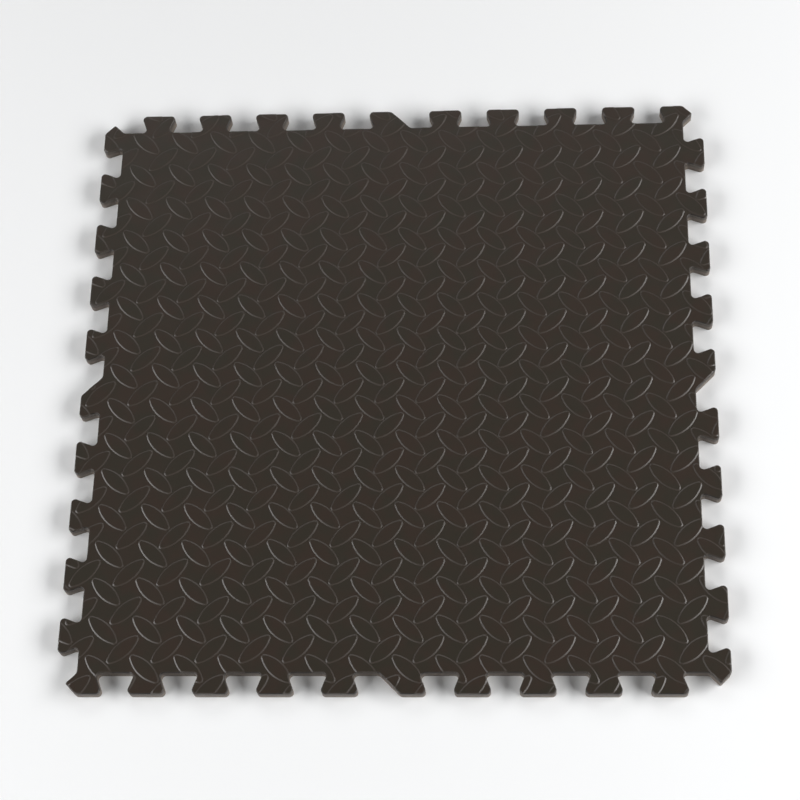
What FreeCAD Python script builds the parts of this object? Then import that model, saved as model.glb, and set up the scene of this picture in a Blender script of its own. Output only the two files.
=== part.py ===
import FreeCAD, Part
import math
import os

# Interlocking foam floor tile, lying flat with its underside on Z = 0 and its centre on the Z axis.
# All lengths are in millimetres, and all angles in degrees.

# Driving dimensions of the slab
tile_side = 600.0            # pitch at which tiles repeat on the floor
tile_thickness = 12.7        # underside to the top of the raised tread leaves
top_edge_bevel = 1.0         # where the skin is drawn down along the cut, top side only

# Driving dimensions of the dovetail edge
tab_pitch = 59.5             # one tab and one socket
tab_height = 20.0            # from the socket's floor to the tab's tip
flank_angle = 20.8           # lean of a tab's flanks, which makes the tip wider than the root
least_end_land = 24.0        # least distance from a step to the first flank beside it
joint_clearance = 0.2        # gap between two tiles pushed together

# Corner radii of the cutting line
tab_corner_radius = 4.0      # tip and root of each tab
step_corner_radius = 6.0     # both ends of each 45 degree step
tile_corner_radius = 1.6     # the point at each corner of the tile

# Values worked out from the driving dimensions
half_side = tile_side / 2
half_height = tab_height / 2
half_pitch = tab_pitch / 2
flank_lean = half_height * math.tan(math.radians(flank_angle))
whole_tabs = int((half_side - 2 * least_end_land) // tab_pitch)
end_land = (half_side - whole_tabs * tab_pitch) / 2


def half_side_corners(start):
    """Corners of the cutting line over half a side, each as (along, outward, radius).

    It starts below a 45 degree step, runs over the whole tabs, and ends on the broad tab that the
    next step cuts off. The line is the same after half a turn about its middle, so two tiles fit.
    """
    corners = [(start + half_height, -half_height, step_corner_radius)]
    for tab in range(whole_tabs + 1):
        left = start + end_land + tab * tab_pitch
        corners.append((left + flank_lean, -half_height, tab_corner_radius))
        corners.append((left - flank_lean, half_height, tab_corner_radius))
        if tab < whole_tabs:
            right = left + half_pitch
            corners.append((right + flank_lean, half_height, tab_corner_radius))
            corners.append((right - flank_lean, -half_height, tab_corner_radius))
    corners.append((start + half_side - half_height, half_height, step_corner_radius))
    return corners


def side_corners():
    """Corners of one whole side, from the tile's corner through the step in mid-side."""
    tile_corner = [(-half_side, 0.0, tile_corner_radius)]
    return tile_corner + half_side_corners(-half_side) + half_side_corners(0.0)


def tile_corners():
    """Corners of the whole cutting line, clockwise from above: one side, turned four times."""
    corners = []
    for quarter in range(4):
        turn = FreeCAD.Rotation(FreeCAD.Vector(0, 0, 1), -90 * quarter)
        for along, outward, radius in side_corners():
            point = turn.multVec(FreeCAD.Vector(along, half_side + outward, 0))
            corners.append((point, radius))
    return corners


def inset(corners, distance):
    """Move each edge of the clockwise outline inwards, which leaves half the joint's clearance."""
    moved = []
    for index, (point, radius) in enumerate(corners):
        before = corners[index - 1][0]
        after = corners[(index + 1) % len(corners)][0]
        arriving = (point - before).normalize()
        leaving = (after - point).normalize()
        inward_arriving = FreeCAD.Vector(arriving.y, -arriving.x, 0)
        inward_leaving = FreeCAD.Vector(leaving.y, -leaving.x, 0)
        reach = distance / (1 + inward_arriving.dot(inward_leaving))
        moved.append((point + (inward_arriving + inward_leaving) * reach, radius))
    return moved


def corner_arc(before, point, after, radius):
    """Arc that rounds a corner of the outline, tangent to both of its edges."""
    back = (before - point).normalize()
    onward = (after - point).normalize()
    half_angle = back.getAngle(onward) / 2
    bisector = (back + onward).normalize()
    tangent_length = radius / math.tan(half_angle)
    middle = point + bisector * (radius / math.sin(half_angle) - radius)
    return Part.Arc(point + back * tangent_length, middle, point + onward * tangent_length)


def rounded_wire(corners):
    """Closed wire of straight edges joined by the corner arcs."""
    arcs = []
    for index, (point, radius) in enumerate(corners):
        before = corners[index - 1][0]
        after = corners[(index + 1) % len(corners)][0]
        arcs.append(corner_arc(before, point, after, radius))
    edges = []
    for index, arc in enumerate(arcs):
        following = arcs[(index + 1) % len(arcs)]
        edges.append(arc.toShape())
        edges.append(Part.LineSegment(arc.EndPoint, following.StartPoint).toShape())
    return Part.Wire(edges)


def foam_tile():
    """The tile: the cutting line extruded through the sheet, with its top edge bevelled."""
    outline = rounded_wire(inset(tile_corners(), joint_clearance / 2))
    slab = Part.Face(outline).extrude(FreeCAD.Vector(0, 0, tile_thickness))
    top_edges = [edge for edge in slab.Edges if edge.BoundBox.ZMin > tile_thickness / 2]
    return slab.makeChamfer(top_edge_bevel, top_edges)


os.makedirs("parts", exist_ok=True)
foam_tile().exportStep("parts/foam_tile.step")
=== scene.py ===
import bpy
import math
from bpy.props import FloatProperty, FloatVectorProperty, IntProperty, PointerProperty
from mathutils import Matrix, Vector


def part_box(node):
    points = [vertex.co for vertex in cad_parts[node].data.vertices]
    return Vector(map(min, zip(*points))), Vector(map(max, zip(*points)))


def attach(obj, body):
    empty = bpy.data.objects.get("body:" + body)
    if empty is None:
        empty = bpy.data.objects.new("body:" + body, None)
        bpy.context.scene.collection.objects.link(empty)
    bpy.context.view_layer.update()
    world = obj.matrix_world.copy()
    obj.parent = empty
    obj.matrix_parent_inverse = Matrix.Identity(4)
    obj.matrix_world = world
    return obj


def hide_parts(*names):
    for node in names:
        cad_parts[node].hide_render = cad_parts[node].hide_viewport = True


bl_info = {
    "name": "Foam Puzzle Mat",
    "version": (1, 0, 0),
    "blender": (4, 5, 0),
    "location": "View3D > Sidebar > Puzzle Mat",
    "description": "An interlocking foam floor tile with a leaf tread, and a pale stage to show it on",
    "category": "Object",
}

# The cut solid of the tile is the frame for everything here. Lengths are in metres.
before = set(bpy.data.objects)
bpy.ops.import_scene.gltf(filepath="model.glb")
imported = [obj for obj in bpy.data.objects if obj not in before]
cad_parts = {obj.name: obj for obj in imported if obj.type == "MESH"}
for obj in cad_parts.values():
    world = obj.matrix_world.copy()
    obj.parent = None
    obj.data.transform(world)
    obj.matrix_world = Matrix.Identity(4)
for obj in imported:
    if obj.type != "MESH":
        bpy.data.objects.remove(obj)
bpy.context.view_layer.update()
tile_low, tile_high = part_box("foam_tile")
tile_thickness = tile_high.z - tile_low.z

MM = 0.001
same_place = 0.001 * MM      # points closer than this are one point
clear = 0.02 * MM            # keeps flat faces apart that would otherwise lie in one plane
half_repeat = 300 * MM       # half the pitch at which tiles repeat, which the stretch is measured against
lies_flat = 0.99             # least share of Z in the normal of a face that lies flat


class TileSizes(bpy.types.PropertyGroup):
    """Sizes of the pressed skin, its tread and its cut edge."""

    relief: FloatProperty(
        name="Relief", default=0.74 * MM, min=0.2 * MM, max=2 * MM, precision=4, unit="LENGTH",
        description="Height of the leaves above the ground between them")
    edge_reach: FloatProperty(
        name="Edge Reach", default=1.1 * MM, min=0.3 * MM, max=1.6 * MM, precision=4, unit="LENGTH",
        description="How far in from the cut the rounded top edge reaches")
    edge_drop: FloatProperty(
        name="Edge Drop", default=1.2 * MM, min=0.3 * MM, max=4 * MM, precision=4, unit="LENGTH",
        description="How far below the ground the rounded top edge starts")
    edge_steps: IntProperty(
        name="Edge Steps", default=3, min=2, max=6,
        description="Faces across the rounded top edge")
    leaf_width: FloatProperty(
        name="Leaf Width", default=13.7 * MM, min=5 * MM, max=20 * MM, unit="LENGTH",
        description="Width of a leaf, at half the height of its rim")
    flank_radius: FloatProperty(
        name="Flank Radius", default=33.5 * MM, min=20 * MM, max=80 * MM, unit="LENGTH",
        description="Radius of the two arcs that make a leaf's flanks")
    rim_width: FloatProperty(
        name="Rim Width", default=1.6 * MM, min=0.5 * MM, max=3 * MM, precision=4, unit="LENGTH",
        description="Width of the sloping rim around a leaf")
    flank_faces: IntProperty(
        name="Flank Faces", default=9, min=6, max=20,
        description="Faces along each flank of a leaf, of which the last at each end is rounded off")
    pitch_across: FloatProperty(
        name="Pitch Across", default=39.852 * MM, min=20 * MM, max=80 * MM, unit="LENGTH",
        description="Distance from a leaf to its like in the same row")
    pitch_along: FloatProperty(
        name="Pitch Along", default=36.888 * MM, min=20 * MM, max=80 * MM, unit="LENGTH",
        description="Distance from one row of like leaves to the next")
    first_leaf: FloatVectorProperty(
        name="First Leaf", size=2, default=(14.72 * MM, 10.65 * MM), unit="LENGTH",
        description="Middle of the left-leaning leaf that is nearest the middle of the tile")
    second_leaf: FloatVectorProperty(
        name="Second Leaf", size=2, default=(0.482, 0.4953),
        description="Where the right-leaning leaf lies in the repeat, as shares of the two pitches")
    left_lean: FloatProperty(
        name="Left Lean", default=math.radians(46.9), unit="ROTATION",
        description="Turn of the left-leaning leaves from the tile's depth direction")
    right_lean: FloatProperty(
        name="Right Lean", default=math.radians(-46.7), unit="ROTATION",
        description="Turn of the right-leaning leaves from the tile's depth direction")


class SheetStretch(bpy.types.PropertyGroup):
    """How the pressed pattern is pulled out of square.

    The lengths are shifts in X and Y at half a repeat from the middle. They grow with the square or
    the cube of the way there, so the middle of the sheet keeps its even rows.
    """

    skew: FloatProperty(
        name="Skew", default=-0.0080,
        description="Shift of a row in X for its distance in Y")
    turn: FloatProperty(
        name="Turn", default=-0.0026,
        description="Shift along a row in Y for its distance in X")
    bow_across: FloatVectorProperty(
        name="Bow Across", size=2, default=(-1.61 * MM, -0.81 * MM), unit="LENGTH",
        description="Shift that grows with the square of the distance in X")
    bow_along: FloatVectorProperty(
        name="Bow Along", size=2, default=(0.34 * MM, 1.79 * MM), unit="LENGTH",
        description="Shift that grows with the square of the distance in Y")
    twist: FloatVectorProperty(
        name="Twist", size=2, default=(-2.69 * MM, -2.44 * MM), unit="LENGTH",
        description="Shift that grows with both distances")
    pull_across: FloatVectorProperty(
        name="Pull Across", size=2, default=(4.68 * MM, 0.61 * MM), unit="LENGTH",
        description="Shift that grows with the cube of the distance in X")
    pull_along: FloatVectorProperty(
        name="Pull Along", size=2, default=(1.55 * MM, 4.29 * MM), unit="LENGTH",
        description="Shift that grows with the cube of the distance in Y")
    drag_across: FloatVectorProperty(
        name="Drag Across", size=2, default=(0.75 * MM, 0.21 * MM), unit="LENGTH",
        description="Shift that grows with the square of the distance in X and the distance in Y")
    drag_along: FloatVectorProperty(
        name="Drag Along", size=2, default=(-1.65 * MM, -2.84 * MM), unit="LENGTH",
        description="Shift that grows with the distance in X and the square of the distance in Y")


class TileColours(bpy.types.PropertyGroup):
    """Colours of the foam: its pressed skin, the rims, which carry painted sheen, and the cut edge, which
    carries painted shade.
    """

    skin_warm: FloatVectorProperty(
        name="Warm Skin", size=3, subtype="COLOR", min=0, max=1, default=(0.0325, 0.0223, 0.0163),
        description="Redder patches in the skin")
    skin_cool: FloatVectorProperty(
        name="Cool Skin", size=3, subtype="COLOR", min=0, max=1, default=(0.0278, 0.0230, 0.0164),
        description="Greener patches in the skin")
    # Painted sheen: the rim colour is paler than the skin, so the sloping rims look as if they catch the
    # light all round.
    rim: FloatVectorProperty(
        name="Rim", size=3, subtype="COLOR", min=0, max=1, default=(0.045, 0.036, 0.029),
        description="Stretched skin on the sloping rims of the leaves")
    # Painted shade: the edge colour darkens the rounded top edge along the cut, where it turns away from
    # the light.
    edge: FloatVectorProperty(
        name="Edge", size=3, subtype="COLOR", min=0, max=1, default=(0.010, 0.008, 0.007),
        description="Skin crushed down along the cut")
    cut: FloatVectorProperty(
        name="Cut Foam", size=3, subtype="COLOR", min=0, max=1, default=(0.210, 0.172, 0.138),
        description="Bare foam low on the cut sides")
    cut_deep: FloatVectorProperty(
        name="Deep Foam", size=3, subtype="COLOR", min=0, max=1, default=(0.120, 0.098, 0.078),
        description="Bare foam in its pores and blotches")
    # Partly painted shade: this dark colour covers the top of the cut sides. Part of it is skin dragged
    # over the cut, and part stands in for shade above the lower part, which the bright floor lights.
    cut_skin_and_shade: FloatVectorProperty(
        name="Dragged Skin", size=3, subtype="COLOR", min=0, max=1, default=(0.038, 0.030, 0.024),
        description="Skin dragged down over the top of the cut sides")


class StageLook(bpy.types.PropertyGroup):
    """The camera of the reference view, the lamps and the floor."""

    azimuth: FloatProperty(
        name="Azimuth", default=math.radians(9.534), unit="ROTATION",
        description="Turn of the camera about the tile, from straight in front")
    elevation: FloatProperty(
        name="Elevation", default=math.radians(65.892), unit="ROTATION",
        description="Height of the camera above the floor, as an angle")
    roll: FloatProperty(
        name="Roll", default=math.radians(-9.307), unit="ROTATION",
        description="Turn of the camera about its own line of sight")
    distance: FloatProperty(
        name="Distance", default=1.861468, min=0.5, unit="LENGTH",
        description="From the camera to the point that it looks at")
    target: FloatVectorProperty(
        name="Target", size=3, subtype="TRANSLATION", default=(0.00381, -0.012857, 0.0),
        description="The point that the camera looks at")
    lens: FloatProperty(
        name="Lens", default=85.729, unit="CAMERA",
        description="Focal length on a sensor 36 mm wide")
    right_lamp: FloatProperty(
        name="Right Lamp", default=115.0, min=0, unit="POWER",
        description="Power of the big soft lamp on the right")
    left_lamp: FloatProperty(
        name="Left Lamp", default=84.0, min=0, unit="POWER",
        description="Power of the big soft lamp on the left")
    back_lamp: FloatProperty(
        name="Back Lamp", default=46.0, min=0, unit="POWER",
        description="Power of the big soft lamp behind the tile")
    horizon: FloatProperty(
        name="Horizon", default=0.06, min=0,
        description="Strength of the light from all round, just above the floor")
    zenith: FloatProperty(
        name="Zenith", default=0.0, min=0,
        description="Strength of the light from straight above")
    floor: FloatVectorProperty(
        name="Floor", size=3, subtype="COLOR", min=0, max=1, default=(0.86, 0.865, 0.87),
        description="Colour of the floor")
    white_from: FloatProperty(
        name="White From", default=0.75, min=0, unit="LENGTH",
        description="Distance from the middle at which the floor starts to turn plain white")
    white_by: FloatProperty(
        name="White By", default=1.8, min=0.1, unit="LENGTH",
        description="Distance from the middle at which the floor is plain white")
    below: FloatProperty(
        name="Below", default=0.9, min=0,
        description="Strength of the light from under the floor, which the floor keeps from the rest")


def deselect_all():
    """Leave nothing selected, because the operators act on all that is."""
    if bpy.context.object and bpy.context.object.mode != "OBJECT":
        bpy.ops.object.mode_set(mode="OBJECT")
    bpy.ops.object.select_all(action="DESELECT")


def pick(piece):
    """Select one object and make it the active one."""
    deselect_all()
    piece.select_set(True)
    bpy.context.view_layer.objects.active = piece


def new_object(name, data):
    """An object with this data, put into the scene."""
    item = bpy.data.objects.new(name, data)
    bpy.context.scene.collection.objects.link(item)
    return item


def edit_all(piece):
    """Go to edit mode with everything selected."""
    pick(piece)
    bpy.ops.object.mode_set(mode="EDIT")
    bpy.ops.mesh.select_all(action="SELECT")


def edit_some(piece, kind, wanted):
    """Go to edit mode with only those parts selected for which wanted(part) is true.

    The kind of the parts is FACE for faces or VERT for points.
    """
    pick(piece)
    bpy.ops.object.mode_set(mode="EDIT")
    bpy.ops.mesh.select_mode(type=kind)
    bpy.ops.mesh.select_all(action="DESELECT")
    bpy.ops.object.mode_set(mode="OBJECT")
    parts = piece.data.polygons if kind == "FACE" else piece.data.vertices
    for part in parts:
        part.select = wanted(part)
    bpy.ops.object.mode_set(mode="EDIT")


def extrude(piece, height):
    """Extrude all of a flat piece straight up, or down if the height is negative."""
    edit_all(piece)
    bpy.ops.mesh.extrude_region_move(TRANSFORM_OT_translate={"value": (0, 0, height)})
    bpy.ops.mesh.select_all(action="SELECT")
    bpy.ops.mesh.normals_make_consistent(inside=False)
    bpy.ops.object.mode_set(mode="OBJECT")


def combine(piece, other, operation):
    """Join, cut or trim a piece by another one, which is used up."""
    pick(piece)
    boolean = piece.modifiers.new(operation.title(), "BOOLEAN")
    boolean.operation = operation
    boolean.solver = "MANIFOLD"
    boolean.object = other
    bpy.ops.object.modifier_apply(modifier=boolean.name)
    bpy.data.objects.remove(other)


def tile_outline(name):
    """The underside of the cut solid as one face: the tile's outline, at the floor."""
    in_one_plane = math.radians(0.1)
    outline = new_object(name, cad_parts["foam_tile"].data.copy())
    outline.data.materials.clear()
    edit_all(outline)
    bpy.ops.mesh.remove_doubles(threshold=same_place)
    bpy.ops.mesh.dissolve_limited(angle_limit=in_one_plane)
    edit_some(outline, "FACE", lambda face: face.normal.z > -lies_flat)
    bpy.ops.mesh.delete(type="FACE")
    bpy.ops.object.mode_set(mode="OBJECT")
    return outline


def rounded_slab(name, height, drop, sizes):
    """The outline raised to a slab, its top edge rounded in over a reach and down over a drop."""
    slab = tile_outline(name)
    extrude(slab, height)
    edit_some(slab, "VERT", lambda point: point.co.z > height - same_place)
    bpy.ops.mesh.select_mode(type="EDGE")
    bpy.ops.mesh.bevel(offset=sizes.edge_reach, segments=sizes.edge_steps, affect="EDGES",
                       offset_type="OFFSET", clamp_overlap=False)
    edit_some(slab, "VERT", lambda point: point.co.z > height - sizes.edge_reach - same_place)
    bpy.ops.transform.resize(value=(1, 1, drop / sizes.edge_reach), center_override=(0, 0, height))
    bpy.ops.object.mode_set(mode="OBJECT")
    return slab


def gridded_block(name, top, sizes):
    """A block over the whole tile with its top in fields of half a pitch, its foot below the tile's.

    It gives the ground between the leaves small faces, so that none has to run round a whole leaf.
    """
    half_across = sizes.pitch_across / 2
    half_along = sizes.pitch_along / 2
    fields_across = 2 * math.ceil(tile_high.x / half_across)
    fields_along = 2 * math.ceil(tile_high.y / half_along)
    deselect_all()
    bpy.ops.mesh.primitive_grid_add(x_subdivisions=fields_across, y_subdivisions=fields_along,
                                    size=1, location=(0, 0, top))
    block = bpy.context.object
    block.name = name
    block.scale = (fields_across * half_across, fields_along * half_along, 1)
    bpy.ops.object.transform_apply(location=True, scale=True)
    extrude(block, -2 * top)
    return block


def leaf_foot(sizes, height):
    """Outline of a leaf's foot as one face: two spun arcs that meet in rounded tips, along Y."""
    foot_radius = sizes.flank_radius + sizes.rim_width / 2
    arc_offset = sizes.flank_radius - sizes.leaf_width / 2
    half_sweep = math.acos(arc_offset / foot_radius)
    tip_reach = foot_radius * math.sin(half_sweep)
    last_face = 2 * foot_radius * math.sin(half_sweep / sizes.flank_faces)
    tip_faces = 4

    # A square drawn together to a point at one tip is spun round the right flank to the other tip
    deselect_all()
    bpy.ops.mesh.primitive_plane_add(size=1 * MM, location=(0, -tip_reach, height))
    foot = bpy.context.object
    foot.name = "leaf"
    bpy.ops.object.transform_apply(location=True)
    edit_all(foot)
    bpy.ops.mesh.merge(type="CENTER")
    bpy.ops.mesh.spin(steps=sizes.flank_faces, angle=-2 * half_sweep,
                      center=(-arc_offset, 0, height), axis=(0, 0, 1))
    bpy.ops.object.mode_set(mode="OBJECT")
    other_flank = foot.modifiers.new("Other Flank", "MIRROR")
    other_flank.merge_threshold = same_place
    bpy.ops.object.modifier_apply(modifier=other_flank.name)
    edit_all(foot)
    bpy.ops.mesh.edge_face_add()

    # Each tip is rounded over the length of the last faces, and the slivers that stay are merged
    edit_some(foot, "VERT", lambda point: abs(point.co.x) < same_place)
    bpy.ops.mesh.bevel(offset=last_face - same_place, segments=tip_faces, affect="VERTICES",
                       clamp_overlap=False)
    bpy.ops.mesh.select_all(action="SELECT")
    bpy.ops.mesh.remove_doubles(threshold=10 * same_place)
    bpy.ops.object.mode_set(mode="OBJECT")
    return foot


def leaf(sizes, ground):
    """One raised leaf over the origin, its length along Y, its foot a little below the ground.

    Its rim rises in three steps, the foot, the slope and the shoulder. Each step is a share of the
    rim's width inwards and a share of the relief upwards, and both kinds add up to one.
    """
    rim_steps = ((0.12, 0.07), (0.68, 0.79), (0.20, 0.14))
    blank = leaf_foot(sizes, ground - sizes.relief)
    extrude(blank, sizes.relief)
    edit_some(blank, "FACE", lambda face: face.normal.z > lies_flat)
    for inward, upward in rim_steps:
        bpy.ops.mesh.inset(thickness=inward * sizes.rim_width, depth=upward * sizes.relief)
    bpy.ops.object.mode_set(mode="OBJECT")
    return blank


def leaf_middle(sizes, stretch, across, along):
    """Middle of a leaf, counted in pitches from the first one, on the slightly stretched sheet."""
    x = across * sizes.pitch_across
    y = along * sizes.pitch_along
    even = Vector(sizes.first_leaf) + Vector((x + stretch.skew * y, y + stretch.turn * x))
    right, back = even / half_repeat
    pulled = even + Vector(stretch.bow_across) * right ** 2
    pulled += Vector(stretch.bow_along) * back ** 2
    pulled += Vector(stretch.twist) * right * back
    pulled += Vector(stretch.pull_across) * right ** 3
    pulled += Vector(stretch.pull_along) * back ** 3
    pulled += Vector(stretch.drag_across) * right ** 2 * back
    pulled += Vector(stretch.drag_along) * right * back ** 2
    return pulled.to_3d()


def leaf_row(sizes, stretch, pattern, lean, shift, name):
    """All leaves that lean one way, copied from one leaf and joined into one mesh.

    A leaf is made where its middle lies no further than half its length outside the tile's box.
    """
    leaf_half_length = max(point.co.y for point in pattern.data.vertices)
    farthest = tile_high.x + leaf_half_length
    rows = math.ceil(farthest / min(sizes.pitch_across, sizes.pitch_along)) + 1
    copies = []
    for across in range(-rows, rows + 1):
        for along in range(-rows, rows + 1):
            middle = leaf_middle(sizes, stretch, across + shift[0], along + shift[1])
            if max(abs(middle.x), abs(middle.y)) > farthest:
                continue
            one = new_object(name, pattern.data.copy())
            one.data.transform(Matrix.Translation(middle) @ Matrix.Rotation(lean, 4, "Z"))
            copies.append(one)
    deselect_all()
    for one in copies:
        one.select_set(True)
    bpy.context.view_layer.objects.active = copies[0]
    bpy.ops.object.join()
    return copies[0]


class MAT_OT_slab(bpy.types.Operator):
    """Raise the tile's outline to the ground between the leaves and round its top edge"""

    bl_idname = "puzzle_mat.slab"
    bl_label = "Slab"

    def execute(self, context):
        sizes = context.scene.tile_sizes
        ground = tile_thickness - sizes.relief
        sheet = rounded_slab("foam_sheet", ground + clear, sizes.edge_drop + clear, sizes)
        combine(sheet, gridded_block("ground", ground, sizes), "INTERSECT")
        return {"FINISHED"}


class MAT_OT_tread(bpy.types.Operator):
    """Press the two leaf rows into the sheet, cut off where the tile's edge is cut"""

    bl_idname = "puzzle_mat.tread"
    bl_label = "Leaf Tread"

    def execute(self, context):
        sizes = context.scene.tile_sizes
        sheet = bpy.data.objects["foam_sheet"]
        pattern = leaf(sizes, tile_thickness - sizes.relief)
        stretch = context.scene.sheet_stretch
        left = leaf_row(sizes, stretch, pattern, sizes.left_lean, (0, 0), "left_leaves")
        right = leaf_row(sizes, stretch, pattern, sizes.right_lean, sizes.second_leaf, "right_leaves")
        bpy.data.objects.remove(pattern)
        combine(left, right, "UNION")
        trimmer = rounded_slab("trimmer", tile_thickness + clear,
                               sizes.edge_drop + sizes.relief + clear, sizes)
        combine(left, trimmer, "INTERSECT")
        combine(sheet, left, "UNION")
        return {"FINISHED"}


class MAT_OT_finish(bpy.types.Operator):
    """Smooth the sheet, give it its foam materials, and let it stand for the cut solid"""

    bl_idname = "puzzle_mat.finish"
    bl_label = "Foam Finish"

    def execute(self, context):
        colours = context.scene.tile_colours
        sheet = bpy.data.objects["foam_sheet"]
        sharp_from = math.radians(50)
        upright_below = 0.2      # share of Z in a face's normal under which it is part of the cut
        skin_slot, cut_slot = 0, 1
        pick(sheet)
        bpy.ops.object.shade_smooth_by_angle(angle=sharp_from)
        flat_first = sheet.modifiers.new("Flat First", "WEIGHTED_NORMAL")
        flat_first.keep_sharp = True
        bpy.ops.object.modifier_apply(modifier=flat_first.name)
        sheet.data.materials.clear()
        grain = foam_grain_group()
        mottling = mottling_group()
        ground = tile_thickness - context.scene.tile_sizes.relief
        sheet.data.materials.append(skin_material(colours, ground, grain, mottling))
        sheet.data.materials.append(cut_material(colours, grain, mottling))
        for face in sheet.data.polygons:
            face.material_index = cut_slot if abs(face.normal.z) < upright_below else skin_slot
        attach(sheet, "root")
        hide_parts("foam_tile")
        return {"FINISHED"}


def new_material(name):
    """An empty material with a Principled shader, and its node tree."""
    material = bpy.data.materials.new(name)
    material.use_nodes = True
    tree = material.node_tree
    shader = next(node for node in tree.nodes if node.type == "BSDF_PRINCIPLED")
    return material, tree, shader


def feed(tree, socket, value):
    """Link a socket to another one, or set it to a plain value."""
    if isinstance(value, bpy.types.NodeSocket):
        tree.links.new(value, socket)
    else:
        socket.default_value = value


def mix_colours(tree, factor, first, second):
    """A mix of two colours; each argument is a socket or a plain value."""
    mix = tree.nodes.new("ShaderNodeMix")
    mix.data_type = "RGBA"
    for socket, value in ((mix.inputs[0], factor), (mix.inputs[6], first), (mix.inputs[7], second)):
        feed(tree, socket, value)
    return mix.outputs[2]


def maths(tree, operation, first, second=0.0):
    """The outcome of a maths node; the numbers are sockets or plain values."""
    node = tree.nodes.new("ShaderNodeMath")
    node.operation = operation
    feed(tree, node.inputs[0], first)
    feed(tree, node.inputs[1], second)
    return node.outputs[0]


def fade(tree, value, start, end, at_start=0.0, at_end=1.0, blend="LINEAR"):
    """A number that goes from at_start to at_end while the value goes from start to end."""
    node = tree.nodes.new("ShaderNodeMapRange")
    node.interpolation_type = blend
    for label, number in (("Value", value), ("From Min", start), ("From Max", end),
                          ("To Min", at_start), ("To Max", at_end)):
        feed(tree, node.inputs[label], number)
    return node.outputs["Result"]


def coordinate(tree, kind):
    """A surface's or a direction's own coordinates, such as Object or Normal."""
    return tree.nodes.new("ShaderNodeTexCoord").outputs[kind]


def z_part(tree, vector):
    """The Z part of a vector."""
    parts = tree.nodes.new("ShaderNodeSeparateXYZ")
    tree.links.new(vector, parts.inputs[0])
    return parts.outputs["Z"]


def opaque(colour):
    """A colour with full alpha."""
    return (*colour, 1.0)


def new_group(name, inputs, outputs):
    """An empty shader node group that takes a place and some numbers, and its two end nodes."""
    group = bpy.data.node_groups.new(name, "ShaderNodeTree")
    group.interface.new_socket("Place", in_out="INPUT", socket_type="NodeSocketVector")
    for label, value in inputs:
        socket = group.interface.new_socket(label, in_out="INPUT", socket_type="NodeSocketFloat")
        socket.default_value = value
    for label in outputs:
        group.interface.new_socket(label, in_out="OUTPUT", socket_type="NodeSocketFloat")
    return group, group.nodes.new("NodeGroupInput"), group.nodes.new("NodeGroupOutput")


def scaled_texture(group, kind, entry, scale_name):
    """A texture node in a group, on the group's place and one of its scales."""
    texture = group.nodes.new(kind)
    group.links.new(entry.outputs["Place"], texture.inputs["Vector"])
    group.links.new(entry.outputs[scale_name], texture.inputs["Scale"])
    return texture


def foam_grain_group():
    """Fine grain of foam: closed cells that show through, over a slow unevenness of the sheet."""
    inputs = (("Cell Scale", 900.0), ("Wave Scale", 20.0), ("Cell Depth", 0.1), ("Wave Depth", 1.0))
    group, entry, leave = new_group("foam_grain", inputs, ("Height", "Pores"))
    cells = scaled_texture(group, "ShaderNodeTexVoronoi", entry, "Cell Scale")
    waves = scaled_texture(group, "ShaderNodeTexNoise", entry, "Wave Scale")
    cell_height = maths(group, "MULTIPLY", cells.outputs["Distance"], entry.outputs["Cell Depth"])
    wave_height = maths(group, "MULTIPLY", waves.outputs["Fac"], entry.outputs["Wave Depth"])
    group.links.new(maths(group, "ADD", cell_height, wave_height), leave.inputs["Height"])
    group.links.new(cells.outputs["Distance"], leave.inputs["Pores"])
    return group


def mottling_group():
    """Soft patches, as a mask from 0 to 1."""
    inputs = (("Patch Scale", 50.0), ("Contrast", 3.0))
    group, entry, leave = new_group("mottling", inputs, ("Mask",))
    patches = scaled_texture(group, "ShaderNodeTexNoise", entry, "Patch Scale")
    patches.inputs["Detail"].default_value = 3
    middle = 0.5
    centred = maths(group, "SUBTRACT", patches.outputs["Fac"], middle)
    stretched = maths(group, "MULTIPLY", centred, entry.outputs["Contrast"])
    mask = maths(group, "ADD", stretched, middle)
    mask.node.use_clamp = True
    group.links.new(mask, leave.inputs["Mask"])
    return group


def place_group(tree, group, values):
    """Put a shared group into a material on its object coordinates, with the material's own values."""
    node = tree.nodes.new("ShaderNodeGroup")
    node.node_tree = group
    tree.links.new(coordinate(tree, "Object"), node.inputs["Place"])
    for label, value in values.items():
        node.inputs[label].default_value = value
    return node


def relief_from(tree, shader, height, distance):
    """Feed a height in a bump node to the shader's normal."""
    bump = tree.nodes.new("ShaderNodeBump")
    bump.inputs["Strength"].default_value = 1.0
    bump.inputs["Distance"].default_value = distance
    tree.links.new(height, bump.inputs["Height"])
    tree.links.new(bump.outputs["Normal"], shader.inputs["Normal"])


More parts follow.
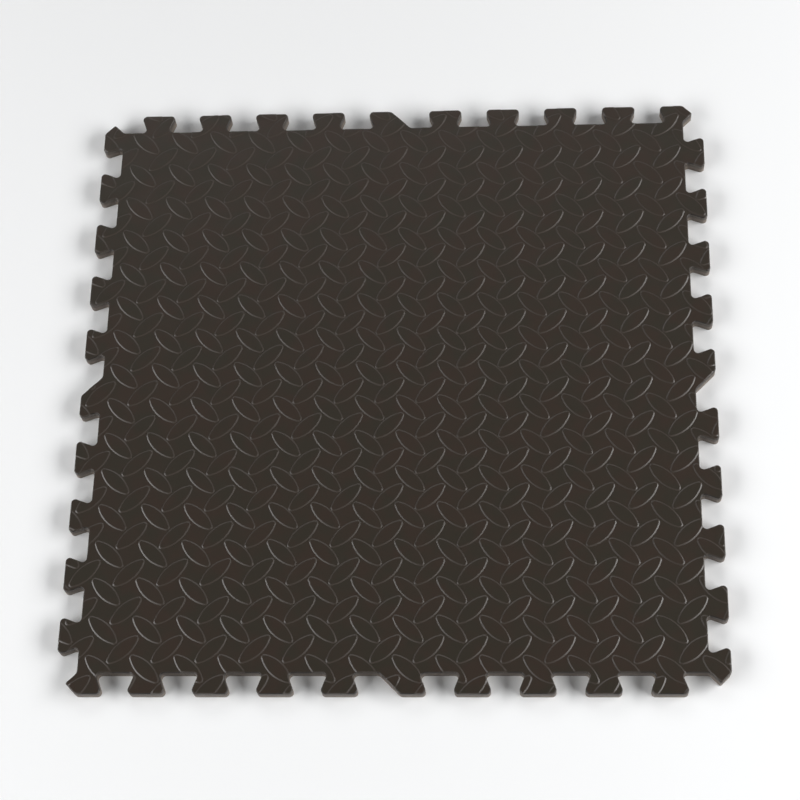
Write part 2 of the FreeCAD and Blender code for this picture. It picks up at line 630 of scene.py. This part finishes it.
def skin_material(colours, ground, grain, mottling):
    """Pressed foam skin: dark and softly shining, with painted sheen that makes the rims paler and
    painted shade that darkens the rounded edge along the cut.
    """
    level, sloping = 0.998, 0.93       # share of Z in the normal, of level skin and of a rim
    edge_shade_depth = 0.4 * MM             # depth below the ground at which the painted shade on the rounded edge is darkest
    tilt_from, tilt_by = 0.42, 0.68    # how far the skin turns away from the eye as it goes dull
    satin, dull = 0.38, 1.0            # roughness of the skin, seen from above and at a low angle
    material, tree, shader = new_material("pressed_foam_skin")

    patches = place_group(tree, mottling, {"Patch Scale": 45.0, "Contrast": 4.0})
    two_tone = mix_colours(tree, patches.outputs["Mask"], opaque(colours.skin_cool),
                           opaque(colours.skin_warm))
    # Painted sheen on the rims: where the normal tilts, the colour turns towards the paler rim colour.
    upward = z_part(tree, coordinate(tree, "Normal"))
    slope = fade(tree, maths(tree, "ABSOLUTE", upward), level, sloping)
    with_rim_sheen = mix_colours(tree, slope, two_tone, opaque(colours.rim))
    height = z_part(tree, coordinate(tree, "Object"))
    # Painted shade on the rounded top edge: upward-facing skin below the ground turns to the near-black
    # edge colour.
    shaded = fade(tree, height, ground, ground - edge_shade_depth)
    top_side = maths(tree, "GREATER_THAN", upward, 0.0)
    painted_edge_shade = maths(tree, "MULTIPLY", shaded, top_side)
    colour = mix_colours(tree, painted_edge_shade, with_rim_sheen, opaque(colours.edge))
    tree.links.new(colour, shader.inputs["Base Color"])

    tilt = tree.nodes.new("ShaderNodeLayerWeight")
    tilt.inputs["Blend"].default_value = 0.5
    roughness = fade(tree, tilt.outputs["Facing"], tilt_from, tilt_by, satin, dull)
    tree.links.new(roughness, shader.inputs["Roughness"])
    fine = place_group(tree, grain, {"Cell Scale": 1100.0, "Cell Depth": 0.05,
                                     "Wave Scale": 26.0, "Wave Depth": 1.0})
    relief_from(tree, shader, fine.outputs["Height"], distance=0.4 * MM)
    return material


def cut_material(colours, grain, mottling):
    """Bare foam on the cut sides: open pores, and darker towards the top, partly where the skin was
    dragged down and partly painted shade.
    """
    bare_below = 0.35 * tile_thickness      # height below which the cut side is bare foam
    dark_above = 0.6 * tile_thickness      # height from which the dark colour, partly dragged skin and partly painted shade, covers the foam
    pore_shade = 0.6                      # how far the pores go towards the deep colour
    material, tree, shader = new_material("cut_foam")

    fine = place_group(tree, grain, {"Cell Scale": 1300.0, "Cell Depth": 1.0,
                                     "Wave Scale": 60.0, "Wave Depth": 1.0})
    blotches = place_group(tree, mottling, {"Patch Scale": 160.0, "Contrast": 2.0})
    bare = mix_colours(tree, blotches.outputs["Mask"], opaque(colours.cut), opaque(colours.cut_deep))
    # The cut sides darken towards the top. This is partly dragged skin and partly painted shade, so only
    # the lower part looks lit by the floor.
    dragged_and_shaded = fade(tree, z_part(tree, coordinate(tree, "Object")), bare_below, dark_above)
    colour = mix_colours(tree, dragged_and_shaded, bare, opaque(colours.cut_skin_and_shade))
    pores = maths(tree, "MULTIPLY", fine.outputs["Pores"], pore_shade)
    pored = mix_colours(tree, pores, colour, opaque(colours.cut_deep))
    tree.links.new(pored, shader.inputs["Base Color"])
    shader.inputs["Roughness"].default_value = 0.5
    relief_from(tree, shader, fine.outputs["Height"], distance=0.2 * MM)
    return material


def camera_axes(look):
    """Right, up and backward axes of the camera, from its azimuth, elevation and roll."""
    backward = Vector((
        math.sin(look.azimuth) * math.cos(look.elevation),
        -math.cos(look.azimuth) * math.cos(look.elevation),
        math.sin(look.elevation),
    ))
    level_right = Vector((math.cos(look.azimuth), math.sin(look.azimuth), 0))
    level_up = backward.cross(level_right)
    right = level_right * math.cos(look.roll) + level_up * math.sin(look.roll)
    up = level_up * math.cos(look.roll) - level_right * math.sin(look.roll)
    return right, up, backward


def add_camera(look):
    """The camera of the reference view."""
    right, up, backward = camera_axes(look)
    turn = Matrix((right, up, backward)).transposed().to_4x4()
    place = Vector(look.target) + backward * look.distance
    data = bpy.data.cameras.new("camera")
    data.lens = look.lens
    data.sensor_width = 36      # in millimetres, as the lens is
    camera = new_object("camera", data)
    camera.matrix_world = Matrix.Translation(place) @ turn
    bpy.context.scene.camera = camera


def add_lamp(name, power, azimuth, elevation, distance, size):
    """A big soft lamp that faces the tile.

    Its azimuth is counted from +X towards +Y, its elevation from the floor, both in degrees, and its
    distance from the middle of the tile's underside.
    """
    turn = math.radians(azimuth)
    rise = math.radians(elevation)
    level = Vector((math.cos(turn), math.sin(turn), 0)) * math.cos(rise)
    place = (level + Vector((0, 0, math.sin(rise)))) * distance
    data = bpy.data.lights.new(name, "AREA")
    data.shape = "RECTANGLE"
    data.size, data.size_y = size
    data.energy = power
    lamp = new_object(name, data)
    lamp.location = place
    lamp.rotation_euler = place.to_track_quat("Z", "Y").to_euler()


def pierced_floor(width, thickness):
    """A wide floor, cut out under the tile, so that a view from below shows the tile's underside."""
    deselect_all()
    bpy.ops.mesh.primitive_cube_add(size=1, location=(0, 0, -thickness / 2),
                                    scale=(width, width, thickness))
    floor = bpy.context.object
    floor.name = "floor"
    bpy.ops.object.transform_apply(location=True, scale=True)

    # The opening's block stands out of the floor by the floor's own thickness, above and below
    opening = tile_outline("opening")
    opening.location.z = thickness
    bpy.ops.object.transform_apply(location=True)
    extrude(opening, -3 * thickness)
    combine(floor, opening, "DIFFERENCE")
    return floor


def floor_material(look):
    """Pale floor, which far from the tile turns plain white to the camera and hides the horizon."""
    material, tree, shader = new_material("pale_floor")
    shader.inputs["Base Color"].default_value = opaque(look.floor)
    shader.inputs["Roughness"].default_value = 0.9
    shader.inputs["Specular IOR Level"].default_value = 0.2
    distance = tree.nodes.new("ShaderNodeVectorMath")
    distance.operation = "LENGTH"
    tree.links.new(coordinate(tree, "Object"), distance.inputs[0])
    far = fade(tree, distance.outputs["Value"], look.white_from, look.white_by, blend="SMOOTHSTEP")
    path = tree.nodes.new("ShaderNodeLightPath")
    white = tree.nodes.new("ShaderNodeEmission")
    blend = tree.nodes.new("ShaderNodeMixShader")
    whitened = maths(tree, "MULTIPLY", far, path.outputs["Is Camera Ray"])
    tree.links.new(whitened, blend.inputs[0])
    tree.links.new(shader.outputs[0], blend.inputs[1])
    tree.links.new(white.outputs[0], blend.inputs[2])
    end = next(node for node in tree.nodes if node.type == "OUTPUT_MATERIAL")
    tree.links.new(blend.outputs[0], end.inputs["Surface"])
    return material


def surroundings(look):
    """A world that is dim overhead, brighter towards the horizon and bright below the floor.

    To the camera it is plain white.
    """
    zenith_from = 0.8       # share of Z in the direction from which the light is the zenith's
    floor_line = -0.01      # share of Z under which the light comes from below the floor
    world = bpy.data.worlds.new("studio")
    world.use_nodes = True
    tree = world.node_tree
    background = tree.nodes["Background"]
    background.inputs["Color"].default_value = (1, 1, 1, 1)
    upward = z_part(tree, coordinate(tree, "Generated"))
    overhead = fade(tree, upward, 0.0, zenith_from, look.horizon, look.zenith, blend="SMOOTHSTEP")
    underneath = maths(tree, "LESS_THAN", upward, floor_line)
    from_below = maths(tree, "MULTIPLY", underneath, look.below)
    all_round = maths(tree, "MAXIMUM", overhead, from_below)
    path = tree.nodes.new("ShaderNodeLightPath")
    seen = maths(tree, "MAXIMUM", all_round, path.outputs["Is Camera Ray"])
    tree.links.new(seen, background.inputs["Strength"])
    return world


class MAT_OT_stage(bpy.types.Operator):
    """Lay a pale floor under the tile, light it from both sides and the back, and set up the camera"""

    bl_idname = "puzzle_mat.stage"
    bl_label = "Stage"

    def execute(self, context):
        look = context.scene.stage_look
        floor = pierced_floor(width=12, thickness=1 * MM)
        floor.data.materials.clear()
        floor.data.materials.append(floor_material(look))

        side_size = (3.4, 1.1)
        add_lamp("right_lamp", look.right_lamp, azimuth=-8, elevation=27, distance=2.8, size=side_size)
        add_lamp("left_lamp", look.left_lamp, azimuth=200, elevation=27, distance=2.8, size=side_size)
        add_lamp("back_lamp", look.back_lamp, azimuth=100, elevation=35, distance=4.5, size=(4.5, 1.5))
        context.scene.world = surroundings(look)
        context.scene.view_settings.view_transform = "Standard"
        add_camera(look)
        return {"FINISHED"}


class MAT_PT_panel(bpy.types.Panel):
    """Sidebar panel with the steps in order and the values that they read."""

    bl_idname = "MAT_PT_panel"
    bl_label = "Puzzle Mat"
    bl_space_type = "VIEW_3D"
    bl_region_type = "UI"
    bl_category = "Puzzle Mat"

    def draw(self, context):
        for step in STEPS:
            self.layout.operator(step.bl_idname)
        values = (context.scene.tile_sizes, context.scene.sheet_stretch,
                  context.scene.tile_colours, context.scene.stage_look)
        for group in values:
            box = self.layout.box()
            for name in group.__annotations__:
                box.prop(group, name)


STEPS = (MAT_OT_slab, MAT_OT_tread, MAT_OT_finish, MAT_OT_stage)
CLASSES = (TileSizes, SheetStretch, TileColours, StageLook, *STEPS, MAT_PT_panel)


def register():
    """Register the classes and hang the values on the scene."""
    for item in CLASSES:
        bpy.utils.register_class(item)
    bpy.types.Scene.tile_sizes = PointerProperty(type=TileSizes)
    bpy.types.Scene.sheet_stretch = PointerProperty(type=SheetStretch)
    bpy.types.Scene.tile_colours = PointerProperty(type=TileColours)
    bpy.types.Scene.stage_look = PointerProperty(type=StageLook)


def unregister():
    """Take away what register added."""
    del bpy.types.Scene.stage_look
    del bpy.types.Scene.tile_colours
    del bpy.types.Scene.sheet_stretch
    del bpy.types.Scene.tile_sizes
    for item in reversed(CLASSES):
        bpy.utils.unregister_class(item)


def main():
    """Build the tile and its stage, step by step."""
    register()
    bpy.ops.puzzle_mat.slab()
    bpy.ops.puzzle_mat.tread()
    bpy.ops.puzzle_mat.finish()
    bpy.ops.puzzle_mat.stage()


if __name__ == "__main__":
    main()
